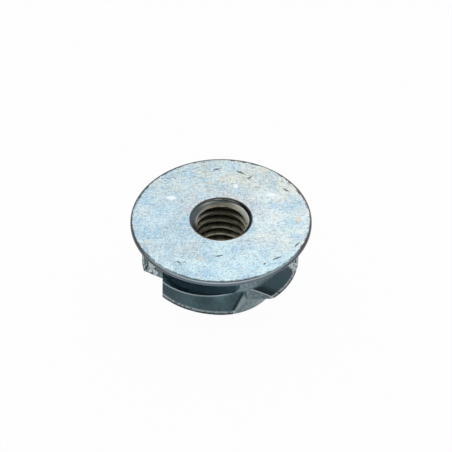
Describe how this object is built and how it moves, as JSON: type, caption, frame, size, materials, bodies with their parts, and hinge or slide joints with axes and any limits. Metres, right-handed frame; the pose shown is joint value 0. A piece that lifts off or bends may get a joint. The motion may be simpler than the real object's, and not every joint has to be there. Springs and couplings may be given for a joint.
{
  "type": "tee nut",
  "caption": "Zinc-plated tee nut: a round flange on a stout threaded barrel, with a ring of swept barbs under the flange that grip the wood and stop it turning.",
  "frame": {"origin": "on the thread's axis, at the barrel's free end, which is the surface it stands on", "axes": "+Z along the thread's axis from the barrel's free end to the flange; the flat front face of one barb looks along -Y"},
  "size_m": [0.0244, 0.0244, 0.011],
  "materials": {
    "zinc_plate": "steel with bright blue-white zinc plating, satin, lightly stained and scratched on the flange"
  },
  "bodies": {
    "root": {"tee_nut": "zinc_plate"}
  },
  "joints": []
}
